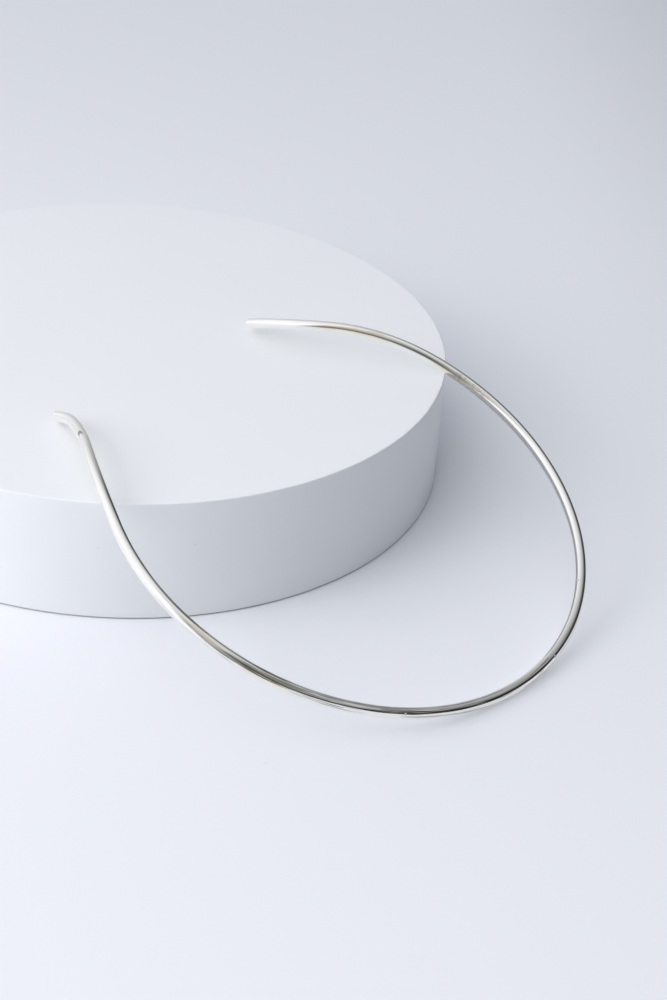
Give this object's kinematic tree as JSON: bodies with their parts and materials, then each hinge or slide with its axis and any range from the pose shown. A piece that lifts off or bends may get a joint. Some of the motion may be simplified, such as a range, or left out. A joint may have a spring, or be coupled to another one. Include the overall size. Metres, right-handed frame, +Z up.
{
  "type": "collar necklace on a round display plinth",
  "caption": "Open collar necklace of round polished silver wire with dropped, flared ends, leaning on a plain low round white display plinth.",
  "frame": {"origin": "the middle of the plinth's flat base, on the surface that it stands on", "axes": "+Z up; the front of the collar points towards -Y; its two arms run back over the plinth towards +Y, one on each side in X"},
  "size_m": [0.175, 0.2387, 0.0432],
  "materials": {
    "polished_silver": "polished sterling silver with fine lengthwise hairlines",
    "white_paint": "matt white paint on fibreboard"
  },
  "bodies": {
    "root": {"collar_wire": "polished_silver", "plinth": "white_paint"}
  },
  "joints": []
}
